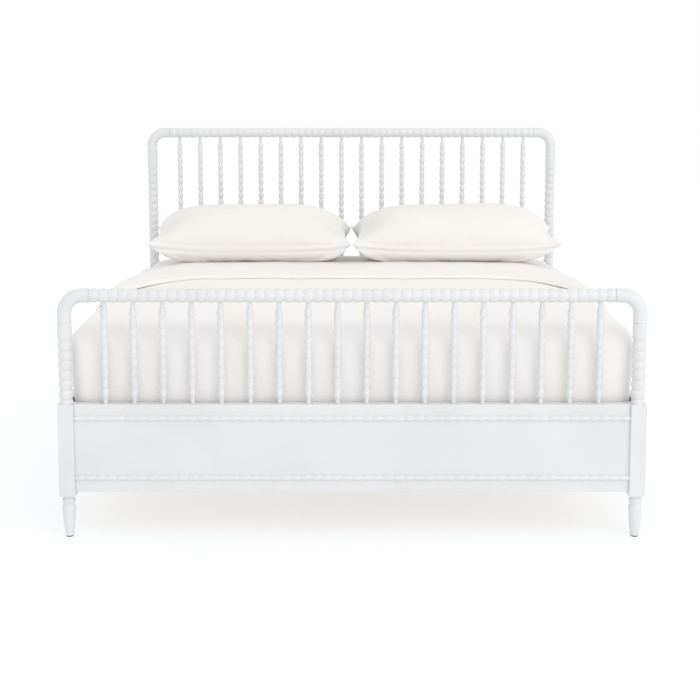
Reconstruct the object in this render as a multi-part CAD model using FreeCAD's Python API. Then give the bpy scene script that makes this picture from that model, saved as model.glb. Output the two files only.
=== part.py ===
import FreeCAD, Part
import os
from collections import namedtuple

from FreeCAD import Vector

# A king-size bed of bobbin turnings with its mattress, top sheet and two pillows.
# Millimetres. X runs across the bed, Y from the footboard to the headboard, Z up.
# The origin is on the floor, at the middle of the bed.

# Mattress size, which the frame is made to fit
MATTRESS_WIDTH = 1930.0
MATTRESS_LENGTH = 2032.0
MATTRESS_SIDE_ROOM = 5.0  # to each side rail
MATTRESS_END_ROOM = 4.5  # to the posts of each board
SLAT_TOP = 405.0  # height of the surface that the mattress lies on
FOOT_RAIL_Z = 839.0  # axis of the footboard's top rail
HEAD_RAIL_Z = 1298.0  # axis of the headboard's top rail

# Clearances
GLUE_GAP = 0.15  # round a tenon, dowel, screw or plate
STUD_GAP = 0.1  # round a levelling stud
SOFT_GAP = 0.3  # under and inside the bedding
OVERRUN = 5.0  # how far a cut runs past the face that it opens

# Posts
POST_SQUARE = 54.0
POST_EDGE_R = 1.2
POST_BEAD_D = 49.0
POST_GROOVE_D = 40.0
POST_BEAD_PITCH = 33.5
POST_BARREL_MIN = 60.0  # smooth length left under the elbow
BLOCK_BOTTOM = 146.0
BLOCK_TOP = 467.0
BLOCK_SHOULDER = 15.6  # half bead that stands on the block
FOOT_NECK_D = 38.0
FOOT_RING_D = 45.0
FOOT_FLARE_D = 47.0
FOOT_TIP_D = 29.0
# Heights on the turned foot, as shares of the block's height above the floor
RING_TOP_SHARE = 0.93
RING_BOTTOM_SHARE = 0.81
NECK_BOTTOM_SHARE = 0.775
FLARE_SHARE = 0.7
FOOT_SWELL_SHARE = 0.04  # how far the taper bows out, of its diameter
GLIDE_D = 25.0
GLIDE_T = 4.0
GLIDE_NAIL_D = 3.0
GLIDE_NAIL_L = 18.0

# Elbows
ELBOW_D = 48.0
BEND_R = 62.0  # of the elbow's centre line
ELBOW_REACH = 85.0  # from the post's axis to the seam on the rail
ELBOW_DROP = 92.0  # from the rail's axis to the seam on the post
SEAM_CHAMFER = 1.5
DOWEL_D = 14.0
DOWEL_L = 56.0

# Top rails
RAIL_BEAD_D = 48.5
RAIL_GROOVE_D = 41.0
BEADS_PER_SPINDLE = 3

# Spindles
SPINDLE_COUNT = 18
SPINDLE_BEAD_D = 26.0
SPINDLE_GROOVE_D = 18.0
SPINDLE_BEAD_PITCH = 34.4
SPINDLE_NECK_D = 15.0
SPINDLE_NECK_MIN = 18.0
SPINDLE_TENON_L = 18.0

# Board panels
PANEL_RAIL_T = 36.0
UPPER_RAIL_H = 44.0
LOWER_RAIL_H = 45.0
LOWER_RAIL_BOTTOM = 162.0
PANEL_RAIL_EDGE_R = 1.5
PANEL_T = 22.0
PANEL_TONGUE_T = 10.0  # left at the back when the panel's edges are rebated
PANEL_GROOVE = 8.0  # depth that the tongue sits in its rails
PANEL_IN_POST = 6.0
TENON_T = 12.0
TENON_L = 22.0
TENON_SHOULDER = 3.0
MOULDING_D = 22.0
MOULDING_GROOVE_D = 16.0
MOULDING_BEAD_PITCH = 35.0
MOULDING_SINK = 2.0  # from the flat it is planted on back to the turning's axis
MOULDING_OFFSET = 4.0  # from the joint that it covers to the turning's axis

# Cross rails, which carry the ends of the centre beam
CROSS_RAIL_H = 80.0
CROSS_TENON_SHOULDER = 10.0
CROSS_TENON_T = 14.0

# Side rails and their cleats
SIDE_RAIL_T = 25.0
SIDE_RAIL_H = 200.0
SIDE_RAIL_SETBACK = 5.0  # behind the outer face of the posts
SIDE_RAIL_DROP = 1.0  # below the top of the posts' blocks
SIDE_RAIL_EDGE_R = 3.0
CLEAT_W = 25.0
CLEAT_H = 32.0
CLEAT_SETBACK = 15.0  # short of each post

# Slats
SLAT_COUNT = 12
SLAT_W = 90.0
SLAT_T = 19.0
SLAT_EDGE_R = 2.5
SLAT_SIDE_ROOM = 3.0
SLAT_END_ROOM = 12.0
SLAT_SCREW_INSET = 10.0

# Centre support
BEAM_W = 40.0
BEAM_H = 70.0
BEAM_EDGE_R = 2.0
HANGER_T = 2.5
HANGER_W = 72.0
HANGER_H = 74.0
HANGER_LEDGE = 40.0
HANGER_CHEEK_H = 58.0
HANGER_SCREW_RISE = 22.0
LEG_SQUARE = 45.0
LEG_EDGE_R = 3.0
LEG_BOTTOM = 22.0
LEG_PLACE_SHARES = {"foot": -0.5, "middle": 0.0, "head": 0.5}  # of the beam's half length
LEG_SCREW_D = 8.0
LEG_SCREW_HEAD_D = 15.0
LEG_SCREW_L = 115.0
INSERT_D = 14.0
INSERT_L = 25.0
STUD_D = 8.0
STUD_L = 50.0
STUD_TRAVEL = 12.0  # that the stud can screw further in
LEVELLER_D = 40.0
LEVELLER_T = 6.0
LEVELLER_HUB_D = 16.0
LEVELLER_HUB_H = 3.0

# Hook hardware between the rails and the posts
PLATE_W = 16.0
PLATE_H = 150.0
PLATE_T = 2.5
HOOK_T = 2.5
HOOK_NECK_H = 14.0
HOOK_LIP_T = 4.0
HOOK_LIP_DROP = 12.0
HOOK_ROOM = 2.0  # round a hook in its slot and pocket
HOOK_PLACE_SHARES = (-0.5, 0.13)  # of half the plate's height
HOOK_SCREW_SHARE = 0.78
SLOT_SCREW_SHARE = 0.91

# Wood screws
SCREW_D = 4.0
SCREW_HEAD_D = 8.0
SCREW_HEAD_H = 2.4
SCREW_L = 38.0
SHORT_SCREW_L = 20.0

# Mattress, with a crowned top and sides that draw in
MATTRESS_T = 310.0
MATTRESS_DRAW_IN = 42.0
MATTRESS_CORNER_R = 50.0
# Height as a share of the thickness, with the draw-in there as a share of the full draw-in
MATTRESS_LEVEL_SHARES = (
    (0.0, 1.3),
    (0.16, 0.8),
    (0.32, 0.35),
    (0.5, 0.05),
    (0.75, 0.05),
    (0.89, 0.45),
    (0.97, 1.3),
    (1.0, 3.0),
)

# Top sheet, tucked in at the foot and turned down in front of the pillows
SHEET_T = 10.0
SHEET_TUCK = 14.0  # its lower edge above the slats
TURN_DOWN = 435.0
TURN_DOWN_DROP = 110.0  # that the turned-down part hangs below the mattress's top
FOLD_UNDER_PILLOW = 60.0

# Pillows
PILLOW_W = 940.0
PILLOW_DEPTH = 430.0
PILLOW_APART = 7.0
PILLOW_BACK_ROOM = 117.5  # from the headboard's middle plane
PILLOW_FRONT_SEAM = 108.0  # seam above the mattress
PILLOW_BACK_SEAM = 140.0
PILLOW_RISE = 146.0  # crown above the seam
PILLOW_SAG = 132.0  # belly below the seam, before it is pressed flat
PILLOW_PIPING = 5.0  # thickness at the seam
PILLOW_WAIST = 15.0  # how far each long side draws in
# Place along the half width, with the share of the full crown there
PILLOW_SECTION_SHARES = (
    (-1.0, 0.05),
    (-0.92, 0.42),
    (-0.7, 0.8),
    (0.0, 1.0),
    (0.7, 0.8),
    (0.92, 0.42),
    (1.0, 0.05),
)

# Places that follow from the sizes
SIDE_RAIL_X = MATTRESS_WIDTH / 2 + MATTRESS_SIDE_ROOM  # inner face
POST_X = SIDE_RAIL_X + SIDE_RAIL_T + SIDE_RAIL_SETBACK - POST_SQUARE / 2
POST_INNER_X = POST_X - POST_SQUARE / 2
POST_INNER_Y = MATTRESS_LENGTH / 2 + MATTRESS_END_ROOM
BOARD_Y = POST_INNER_Y + POST_SQUARE / 2
RAIL_HALF = POST_X - ELBOW_REACH
SPINDLE_SPACING = 2 * RAIL_HALF / SPINDLE_COUNT
UPPER_RAIL_BOTTOM = BLOCK_TOP - UPPER_RAIL_H
LOWER_RAIL_TOP = LOWER_RAIL_BOTTOM + LOWER_RAIL_H
SLAT_UNDERSIDE = SLAT_TOP - SLAT_T
SIDE_RAIL_TOP = BLOCK_TOP - SIDE_RAIL_DROP
SIDE_RAIL_MID_X = SIDE_RAIL_X + SIDE_RAIL_T / 2
PLATE_MID_Z = SIDE_RAIL_TOP - SIDE_RAIL_H / 2
CLEAT_INNER_X = SIDE_RAIL_X - CLEAT_W
CLEAT_MID_Z = SLAT_UNDERSIDE - CLEAT_H / 2
SLAT_HALF = SIDE_RAIL_X - SLAT_SIDE_ROOM
SLAT_FIRST_Y = -(POST_INNER_Y - SLAT_END_ROOM - SLAT_W / 2)
SLAT_PITCH = -2 * SLAT_FIRST_Y / (SLAT_COUNT - 1)
SLAT_PLACES = [SLAT_FIRST_Y + i * SLAT_PITCH for i in range(SLAT_COUNT)]
SLAT_SCREW_X = SLAT_HALF - SLAT_SCREW_INSET
BEAM_BOTTOM = SLAT_UNDERSIDE - BEAM_H
BEAM_HALF = POST_INNER_Y - HANGER_T
CROSS_RAIL_BOTTOM = SLAT_UNDERSIDE - CROSS_RAIL_H
MATTRESS_BOTTOM = SLAT_TOP + SOFT_GAP
MATTRESS_TOP = MATTRESS_BOTTOM + MATTRESS_T
PILLOW_MID_X = (PILLOW_W + PILLOW_APART) / 2
PILLOW_BACK_Y = BOARD_Y - PILLOW_BACK_ROOM
PILLOW_FRONT_Y = PILLOW_BACK_Y - PILLOW_DEPTH
FOLD_Y = PILLOW_FRONT_Y + FOLD_UNDER_PILLOW

Board = namedtuple("Board", "name y inward rail_z")
FOOT = Board("foot", -BOARD_Y, 1, FOOT_RAIL_Z)
HEAD = Board("head", BOARD_Y, -1, HEAD_RAIL_Z)
SIDES = {"left": -1, "right": 1}
UP = Vector(0, 0, 1)


def save(node, *solids):
    """Writes one piece, or a group of like pieces, under its own name."""
    shape = solids[0] if len(solids) == 1 else Part.makeCompound(solids)
    shape.exportStep("parts/" + node + ".step")


def box(x, y, z):
    """A block between two x, two y and two z values, each pair in either order."""
    corner = Vector(min(x), min(y), min(z))
    return Part.makeBox(max(x) - min(x), max(y) - min(y), max(z) - min(z), corner)


def eased(solid, radius):
    """The block with all its edges rounded."""
    return solid.makeFillet(radius, solid.Edges)


def around(middle, size):
    """The two ends of a size that is centred on a place."""
    return (middle - size / 2, middle + size / 2)


def rod(diameter, start, end):
    """A round bar between two points."""
    return Part.makeCylinder(diameter / 2, (end - start).Length, start, end - start)


def screw(head, along, diameter, head_diameter, length, gap=0.0):
    """A countersunk screw with its head flush at a point, or with a gap the hole that it sits in."""
    shank = Part.makeCylinder(diameter / 2 + gap, length + gap, head, along)
    sink = Part.makeCone(head_diameter / 2 + gap, diameter / 2 + gap, SCREW_HEAD_H, head, along)
    return shank.fuse(sink).removeSplitter()


class Turning:
    """A half outline, radius against height, that is turned about the vertical axis."""

    def __init__(self, radius, z):
        self.start = Vector(radius, 0, z)
        self.at = self.start
        self.edges = []

    def line(self, radius, z):
        end = Vector(radius, 0, z)
        self.edges.append(Part.LineSegment(self.at, end).toShape())
        self.at = end
        return self

    def arc(self, mid_radius, mid_z, radius, z):
        end = Vector(radius, 0, z)
        self.edges.append(Part.Arc(self.at, Vector(mid_radius, 0, mid_z), end).toShape())
        self.at = end
        return self

    def half_bead(self, radius, z):
        """Half of a bead's bow, level where the bead is thickest."""
        thick = max(self.at.x, radius)
        self.arc(thick - abs(self.at.x - radius) / 4, (self.at.z + z) / 2, radius, z)
        return self

    def beads(self, count, pitch, radius):
        """A row of beads between grooves as deep as the outline is here."""
        for _ in range(count):
            z = self.at.z
            self.arc(radius, z + pitch / 2, self.at.x, z + pitch)
        return self

    def solid(self):
        top = Vector(0, 0, self.at.z)
        bottom = Vector(0, 0, self.start.z)
        corners = (self.at, top, bottom, self.start)
        sides = [Part.LineSegment(a, b).toShape() for a, b in zip(corners, corners[1:])]
        return Part.Face(Part.Wire(self.edges + sides)).revolve(Vector(0, 0, 0), UP, 360)


def laid_across(solid, y, z):
    """An upright turning laid along X, with its middle at y and z."""
    solid.rotate(Vector(0, 0, 0), Vector(0, 1, 0), 90)
    solid.translate(Vector(0, y, z))
    return solid


def seam_z(board):
    """Height of the seam between a post and its elbow."""
    return board.rail_z - ELBOW_DROP


def spindle_places():
    return [(i - (SPINDLE_COUNT - 1) / 2) * SPINDLE_SPACING for i in range(SPINDLE_COUNT)]


def panel_faces(board):
    """The outer and inner y of a board's field panel, which is flush with its rails outside."""
    outer = board.y - board.inward * PANEL_RAIL_T / 2
    return outer, outer + board.inward * PANEL_T


def tongue_faces(board, gap=0.0):
    """The outer and inner y of the tongue round a field panel, or of its groove."""
    inner = panel_faces(board)[1]
    return inner - board.inward * (PANEL_TONGUE_T + gap), inner + board.inward * gap


def cross_rail_faces(board):
    return panel_faces(board)[1] + board.inward * GLUE_GAP, board.y + board.inward * POST_SQUARE / 2


def rail_tenons(side, board, gap=0.0):
    """The tenons that the two panel rails and the cross rail put into a post, or their mortises."""
    x = (side * POST_INNER_X, side * (POST_INNER_X + TENON_L + gap))
    y = around(board.y, TENON_T + 2 * gap)
    upper = (UPPER_RAIL_BOTTOM + PANEL_GROOVE + TENON_SHOULDER - gap, BLOCK_TOP - TENON_SHOULDER + gap)
    lower = (
        LOWER_RAIL_BOTTOM + TENON_SHOULDER - gap,
        LOWER_RAIL_TOP - PANEL_GROOVE - TENON_SHOULDER + gap,
    )
    cross = (
        CROSS_RAIL_BOTTOM + CROSS_TENON_SHOULDER - gap,
        SLAT_UNDERSIDE - CROSS_TENON_SHOULDER + gap,
    )
    cross_y = around(sum(cross_rail_faces(board)) / 2, CROSS_TENON_T + 2 * gap)
    return box(x, y, upper), box(x, y, lower), box(x, cross_y, cross)


def plate_screw_places(share):
    return [PLATE_MID_Z - share * PLATE_H / 2, PLATE_MID_Z + share * PLATE_H / 2]


def hook_places():
    """The underside of each hook's neck."""
    return [PLATE_MID_Z + share * PLATE_H / 2 for share in HOOK_PLACE_SHARES]


def plate_screws(side, board, gap=0.0):
    """The screws of one rail joint: two into the end of the rail and two into the post."""
    x = side * SIDE_RAIL_MID_X
    y = -board.inward * POST_INNER_Y
    into_rail = Vector(0, board.inward, 0)
    sizes = (SCREW_D, SCREW_HEAD_D, SCREW_L, gap)
    rail = [screw(Vector(x, y, z), into_rail, *sizes) for z in plate_screw_places(HOOK_SCREW_SHARE)]
    post = [screw(Vector(x, y, z), -into_rail, *sizes) for z in plate_screw_places(SLOT_SCREW_SHARE)]
    return rail, post


def cleat_screws(side, gap=0.0):
    """Screws through a cleat into its side rail, in every second gap between the slats."""
    head_x = side * CLEAT_INNER_X
    places = [(a + b) / 2 for a, b in zip(SLAT_PLACES[::2], SLAT_PLACES[1::2])]
    into_rail = Vector(side, 0, 0)
    sizes = (SCREW_D, SCREW_HEAD_D, SCREW_L, gap)
    return [screw(Vector(head_x, y, CLEAT_MID_Z), into_rail, *sizes) for y in places]


def slat_screws(side, gap=0.0):
    """One screw down through each slat's end into the cleat."""
    sizes = (SCREW_D, SCREW_HEAD_D, CLEAT_H, gap)
    return [screw(Vector(side * SLAT_SCREW_X, y, SLAT_TOP), -UP, *sizes) for y in SLAT_PLACES]


def hanger_screws(board, gap=0.0):
    """Four short screws through a hanger's back plate into its cross rail."""
    y = -board.inward * (POST_INNER_Y - HANGER_T)
    screw_x = (BEAM_W / 2 + HANGER_T + HANGER_W / 2) / 2
    middle = BEAM_BOTTOM + BEAM_H / 2
    sizes = (SCREW_D, SCREW_HEAD_D, SHORT_SCREW_L, gap)
    into_board = Vector(0, -board.inward, 0)
    rises = (-HANGER_SCREW_RISE, HANGER_SCREW_RISE)
    corners = [(x, middle + rise) for x in (-screw_x, screw_x) for rise in rises]
    return [screw(Vector(x, y, z), into_board, *sizes) for x, z in corners]


def leg_screw(y, gap=0.0):
    head = Vector(0, y, SLAT_UNDERSIDE)
    return screw(head, -UP, LEG_SCREW_D, LEG_SCREW_HEAD_D, LEG_SCREW_L, gap)


def glide_nail(side, board, gap=0.0):
    foot = Vector(side * POST_X, board.y, GLIDE_T)
    return rod(GLIDE_NAIL_D + 2 * gap, foot, foot + UP * (GLIDE_NAIL_L + gap))


def elbow_dowels(side, board, gap=0.0):
    """The dowels across an elbow's two seams, or their bores."""
    half = DOWEL_L / 2 + gap
    on_rail = Vector(side * RAIL_HALF, board.y, board.rail_z)
    on_post = Vector(side * POST_X, board.y, seam_z(board))
    size = DOWEL_D + 2 * gap
    across = rod(size, on_rail - Vector(half, 0, 0), on_rail + Vector(half, 0, 0))
    upright = rod(size, on_post - UP * half, on_post + UP * half)
    return across, upright


def turned_foot():
    """The tapered foot under a post's block, with its neck, ring and flare."""
    ring_top = RING_TOP_SHARE * BLOCK_BOTTOM
    ring_bottom = RING_BOTTOM_SHARE * BLOCK_BOTTOM
    neck_bottom = NECK_BOTTOM_SHARE * BLOCK_BOTTOM
    flare = FLARE_SHARE * BLOCK_BOTTOM
    swell = (FOOT_TIP_D + FOOT_FLARE_D) / 4 * (1 + FOOT_SWELL_SHARE)
    foot = Turning(FOOT_TIP_D / 2, GLIDE_T)
    foot.arc(swell, (GLIDE_T + flare) / 2, FOOT_FLARE_D / 2, flare)
    foot.half_bead(FOOT_NECK_D / 2, neck_bottom)
    foot.line(FOOT_NECK_D / 2, ring_bottom)
    foot.arc(FOOT_RING_D / 2, (ring_bottom + ring_top) / 2, FOOT_NECK_D / 2, ring_top)
    foot.line(FOOT_NECK_D / 2, BLOCK_BOTTOM)
    return foot.solid()


def turned_shaft(board):
    """The beads and the smooth barrel between a post's block and its elbow."""
    first_groove = BLOCK_TOP + BLOCK_SHOULDER
    seam = seam_z(board)
    count = int((seam - first_groove - POST_BARREL_MIN) / POST_BEAD_PITCH)
    shaft = Turning(POST_BEAD_D / 2, BLOCK_TOP)
    shaft.half_bead(POST_GROOVE_D / 2, first_groove)
    shaft.beads(count, POST_BEAD_PITCH, POST_BEAD_D / 2)
    shaft.half_bead(POST_BEAD_D / 2, shaft.at.z + POST_BEAD_PITCH / 2)
    shaft.line(ELBOW_D / 2, seam - SEAM_CHAMFER)
    shaft.line(ELBOW_D / 2 - SEAM_CHAMFER, seam)
    return shaft.solid()


def hook_pockets(side, board):
    """The recess for a slotted plate in a post, with the pockets that the hooks drop into."""
    y = -board.inward * POST_INNER_Y
    x = side * SIDE_RAIL_MID_X
    back = y - board.inward * PLATE_T
    deep = back - board.inward * (HOOK_LIP_T + 2 * HOOK_ROOM)
    recess = box(
        around(x, PLATE_W + 2 * GLUE_GAP),
        (y + board.inward * OVERRUN, back),
        around(PLATE_MID_Z, PLATE_H + 2 * GLUE_GAP),
    )
    pockets = []
    for z in hook_places():
        height = (z - HOOK_LIP_DROP - HOOK_ROOM, z + HOOK_NECK_H + HOOK_LIP_DROP + HOOK_ROOM)
        pockets.append(box(around(x, HOOK_T + 2 * HOOK_ROOM), (y, deep), height))
    return [recess] + pockets


def post(side, board):
    """A post turned from one square, mortised for its rails, panel and hook plate."""
    across = around(side * POST_X, POST_SQUARE)
    along = around(board.y, POST_SQUARE)
    block = eased(box(across, along, (BLOCK_BOTTOM, BLOCK_TOP)), POST_EDGE_R)
    turnings = [turned_foot(), turned_shaft(board)]
    for turning in turnings:
        turning.translate(Vector(side * POST_X, board.y, 0))
    panel_slot = box(
        (side * (POST_INNER_X - OVERRUN), side * (POST_INNER_X + PANEL_IN_POST + GLUE_GAP)),
        tongue_faces(board, GLUE_GAP),
        (LOWER_RAIL_TOP - PANEL_GROOVE - GLUE_GAP, UPPER_RAIL_BOTTOM + PANEL_GROOVE + GLUE_GAP),
    )
    cuts = [panel_slot, glide_nail(side, board, GLUE_GAP), elbow_dowels(side, board, GLUE_GAP)[1]]
    cuts += rail_tenons(side, board, GLUE_GAP)
    cuts += hook_pockets(side, board)
    cuts += plate_screws(side, board, GLUE_GAP)[1]
    return block.fuse(turnings).removeSplitter().cut(cuts)


def glide(side, board):
    foot = Vector(side * POST_X, board.y, 0)
    return rod(GLIDE_D, foot, foot + UP * GLIDE_T).fuse(glide_nail(side, board)).removeSplitter()


def elbow_tail(start, along, length):
    """A straight end of an elbow, with a chamfer that shows as the seam."""
    plain = length - SEAM_CHAMFER
    end = start + along * plain
    tube = Part.makeCylinder(ELBOW_D / 2, plain, start, along)
    return tube.fuse(Part.makeCone(ELBOW_D / 2, ELBOW_D / 2 - SEAM_CHAMFER, SEAM_CHAMFER, end, along))


def elbow(side, board):
    """A quarter bend between a post and the top rail."""
    centre = Vector(side * (POST_X - BEND_R), board.y, board.rail_z - BEND_R)
    on_rail = centre + UP * BEND_R
    on_post = centre + Vector(side * BEND_R, 0, 0)
    section = Part.Face(Part.Wire(Part.makeCircle(ELBOW_D / 2, on_rail, Vector(1, 0, 0))))
    bend = section.revolve(centre, Vector(0, side, 0), 90)
    rail_tail = elbow_tail(on_rail, Vector(-side, 0, 0), ELBOW_REACH - BEND_R)
    post_tail = elbow_tail(on_post, -UP, ELBOW_DROP - BEND_R)
    return bend.fuse([rail_tail, post_tail]).removeSplitter().cut(elbow_dowels(side, board, GLUE_GAP))


def spindle_ends(board):
    """The lowest and highest point of a spindle with its two tenons."""
    return BLOCK_TOP - SPINDLE_TENON_L, board.rail_z - RAIL_BEAD_D / 2 + SPINDLE_TENON_L


def spindle_bores(board):
    """The blind holes for the spindles' tenons, in the upper rail and in the top rail."""
    low, high = spindle_ends(board)
    size = SPINDLE_NECK_D + 2 * GLUE_GAP
    feet = [Vector(x, board.y, low - GLUE_GAP) for x in spindle_places()]
    return [rod(size, foot, foot + UP * (high - low + 2 * GLUE_GAP)) for foot in feet]


def spindles(board):
    """A board's row of bobbin-turned spindles, each on a thin neck."""
    low, high = spindle_ends(board)
    shown = board.rail_z - RAIL_BEAD_D / 2 - BLOCK_TOP
    count = int((shown - 2 * SPINDLE_NECK_MIN) / SPINDLE_BEAD_PITCH)
    neck = (shown - count * SPINDLE_BEAD_PITCH) / 2
    outline = Turning(SPINDLE_NECK_D / 2, low)
    outline.line(SPINDLE_NECK_D / 2, BLOCK_TOP + neck)
    outline.line(SPINDLE_GROOVE_D / 2, BLOCK_TOP + neck)
    outline.beads(count, SPINDLE_BEAD_PITCH, SPINDLE_BEAD_D / 2)
    outline.line(SPINDLE_NECK_D / 2, outline.at.z)
    outline.line(SPINDLE_NECK_D / 2, high)
    row = []
    for x in spindle_places():
        spindle = outline.solid()
        spindle.translate(Vector(x, board.y, 0))
        row.append(spindle)
    return row


def top_rail(board):
    """The beaded rail over the spindles, with a bead centred on each."""
    pitch = SPINDLE_SPACING / BEADS_PER_SPINDLE
    bobbin = Turning(RAIL_GROOVE_D / 2, -RAIL_HALF)
    bobbin.beads(SPINDLE_COUNT * BEADS_PER_SPINDLE, pitch, RAIL_BEAD_D / 2)
    rail = laid_across(bobbin.solid(), board.y, board.rail_z)
    bores = [elbow_dowels(side, board, GLUE_GAP)[0] for side in SIDES.values()]
    return rail.cut(bores + spindle_bores(board))


def panel_rail(board, tenon, low, high):
    """A rail of a board's panel, grooved for the panel and tenoned into the posts."""
    body = eased(
        box((-POST_INNER_X, POST_INNER_X), around(board.y, PANEL_RAIL_T), (low, high)), PANEL_RAIL_EDGE_R
    )
    groove = box(
        (-POST_X, POST_X),
        tongue_faces(board, GLUE_GAP),
        (LOWER_RAIL_TOP - PANEL_GROOVE - GLUE_GAP, UPPER_RAIL_BOTTOM + PANEL_GROOVE + GLUE_GAP),
    )
    tenons = [rail_tenons(side, board)[tenon] for side in SIDES.values()]
    return body.cut(groove).fuse(tenons).removeSplitter()


def upper_rail(board):
    return panel_rail(board, 0, UPPER_RAIL_BOTTOM, BLOCK_TOP).cut(spindle_bores(board))


def lower_rail(board):
    return panel_rail(board, 1, LOWER_RAIL_BOTTOM, LOWER_RAIL_TOP)


def field_panel(board):
    """The panel that fills its frame, with a tongue that floats in the grooves of rails and posts."""
    edge = POST_INNER_X + PANEL_IN_POST
    height = (LOWER_RAIL_TOP - PANEL_GROOVE, UPPER_RAIL_BOTTOM + PANEL_GROOVE)
    tongue = box((-edge, edge), tongue_faces(board), height)
    shown = POST_INNER_X - GLUE_GAP
    shown_height = (LOWER_RAIL_TOP + GLUE_GAP, UPPER_RAIL_BOTTOM - GLUE_GAP)
    return tongue.fuse(box((-shown, shown), panel_faces(board), shown_height)).removeSplitter()


def cross_rail(board):
    """The rail behind the panel that carries the end of the centre beam."""
    height = (CROSS_RAIL_BOTTOM, SLAT_UNDERSIDE)
    body = box((-POST_INNER_X, POST_INNER_X), cross_rail_faces(board), height)
    tenons = [rail_tenons(side, board)[2] for side in SIDES.values()]
    return body.fuse(tenons).removeSplitter().cut(hanger_screws(board, GLUE_GAP))


def split_moulding(z):
    """A bobbin turning split down its length, planted over a joint between rail and panel."""
    length = 2 * (POST_INNER_X - GLUE_GAP)
    count = round(length / MOULDING_BEAD_PITCH)
    half = length / count / 2
    bobbin = Turning(MOULDING_GROOVE_D / 2, -length / 2)
    for _ in range(count):
        bobbin.half_bead(MOULDING_D / 2, bobbin.at.z + half)
        bobbin.half_bead(MOULDING_GROOVE_D / 2, bobbin.at.z + half)
    face = panel_faces(FOOT)[0]
    whole = laid_across(bobbin.solid(), face + FOOT.inward * MOULDING_SINK, z)
    cut_off = (face, face + FOOT.inward * 2 * MOULDING_D)
    behind = box(around(0, length + 2 * OVERRUN), cut_off, around(z, 2 * MOULDING_D))
    return whole.cut(behind)


def side_rail(side):
    """The long rail between the two posts of one side."""
    body = eased(
        box(
            (side * SIDE_RAIL_X, side * (SIDE_RAIL_X + SIDE_RAIL_T)),
            (-POST_INNER_Y, POST_INNER_Y),
            (SIDE_RAIL_TOP - SIDE_RAIL_H, SIDE_RAIL_TOP),
        ),
        SIDE_RAIL_EDGE_R,
    )
    cuts = cleat_screws(side, GLUE_GAP)
    for board in (FOOT, HEAD):
        end = -board.inward * POST_INNER_Y
        cuts.append(
            box(
                around(side * SIDE_RAIL_MID_X, PLATE_W + 2 * GLUE_GAP),
                (end - board.inward * OVERRUN, end + board.inward * PLATE_T),
                around(PLATE_MID_Z, PLATE_H + 2 * GLUE_GAP),
            )
        )
        cuts += plate_screws(side, board, GLUE_GAP)[0]
    return body.cut(cuts)


def hook_plate(side, board):
    """The steel plate let into a rail's end, with its two hooks."""
    x = side * SIDE_RAIL_MID_X
    end = -board.inward * POST_INNER_Y
    plate = box(around(x, PLATE_W), (end, end + board.inward * PLATE_T), around(PLATE_MID_Z, PLATE_H))
    lip_front = end - board.inward * (PLATE_T + SOFT_GAP)
    lip_back = lip_front - board.inward * HOOK_LIP_T
    hooks = []
    for z in hook_places():
        neck = (z, z + HOOK_NECK_H)
        hooks.append(box(around(x, HOOK_T), (end, lip_back), neck))
        hooks.append(box(around(x, HOOK_T), (lip_front, lip_back), (z - HOOK_LIP_DROP, z + HOOK_NECK_H)))
    return plate.fuse(hooks).removeSplitter().cut(plate_screws(side, board, GLUE_GAP)[0])


def slot_plate(side, board):
    """The steel plate let into a post, with a slot for each hook."""
    x = side * SIDE_RAIL_MID_X
    face = -board.inward * POST_INNER_Y
    plate = box(around(x, PLATE_W), (face, face - board.inward * PLATE_T), around(PLATE_MID_Z, PLATE_H))
    through = (face + board.inward * OVERRUN, face - board.inward * OVERRUN)
    slots = []
    for z in hook_places():
        height = (z - GLUE_GAP, z + HOOK_NECK_H + HOOK_LIP_DROP)
        slots.append(box(around(x, HOOK_T + HOOK_ROOM), through, height))
    return plate.cut(slots + plate_screws(side, board, GLUE_GAP)[1])


def slat_cleat(side):
    """The batten on a side rail's inner face that the slats lie on."""
    half = POST_INNER_Y - CLEAT_SETBACK
    height = (SLAT_UNDERSIDE - CLEAT_H, SLAT_UNDERSIDE)
    body = box((side * CLEAT_INNER_X, side * SIDE_RAIL_X), (-half, half), height)
    return body.cut(cleat_screws(side, GLUE_GAP) + slat_screws(side, GLUE_GAP))


def slat(index):
    y = SLAT_PLACES[index]
    body = box((-SLAT_HALF, SLAT_HALF), around(y, SLAT_W), (SLAT_UNDERSIDE, SLAT_TOP))
    holes = [slat_screws(side, GLUE_GAP)[index] for side in SIDES.values()]
    return eased(body, SLAT_EDGE_R).cut(holes)


def centre_beam():
    body = box(around(0, BEAM_W), (-BEAM_HALF, BEAM_HALF), (BEAM_BOTTOM, SLAT_UNDERSIDE))
    holes = [leg_screw(y, GLUE_GAP) for y in leg_places().values()]
    return eased(body, BEAM_EDGE_R).cut(holes)


def beam_hanger(board):
    """A folded steel stirrup that holds one end of the beam."""
    back = -board.inward * POST_INNER_Y
    front = back + board.inward * HANGER_T
    ledge = (back, front + board.inward * HANGER_LEDGE)
    middle = BEAM_BOTTOM + BEAM_H / 2
    plate = box(around(0, HANGER_W), (back, front), around(middle, HANGER_H))
    seat_half = BEAM_W / 2 + GLUE_GAP + HANGER_T
    seat_z = BEAM_BOTTOM - GLUE_GAP
    seat = box((-seat_half, seat_half), ledge, (seat_z - HANGER_T, seat_z))
    pieces = [seat]
    for side in SIDES.values():
        across = (side * (seat_half - HANGER_T), side * seat_half)
        pieces.append(box(across, ledge, (seat_z - HANGER_T, seat_z + HANGER_CHEEK_H)))
    return plate.fuse(pieces).removeSplitter().cut(hanger_screws(board, GLUE_GAP))


def leg_places():
    return {name: share * BEAM_HALF for name, share in LEG_PLACE_SHARES.items()}


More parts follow.
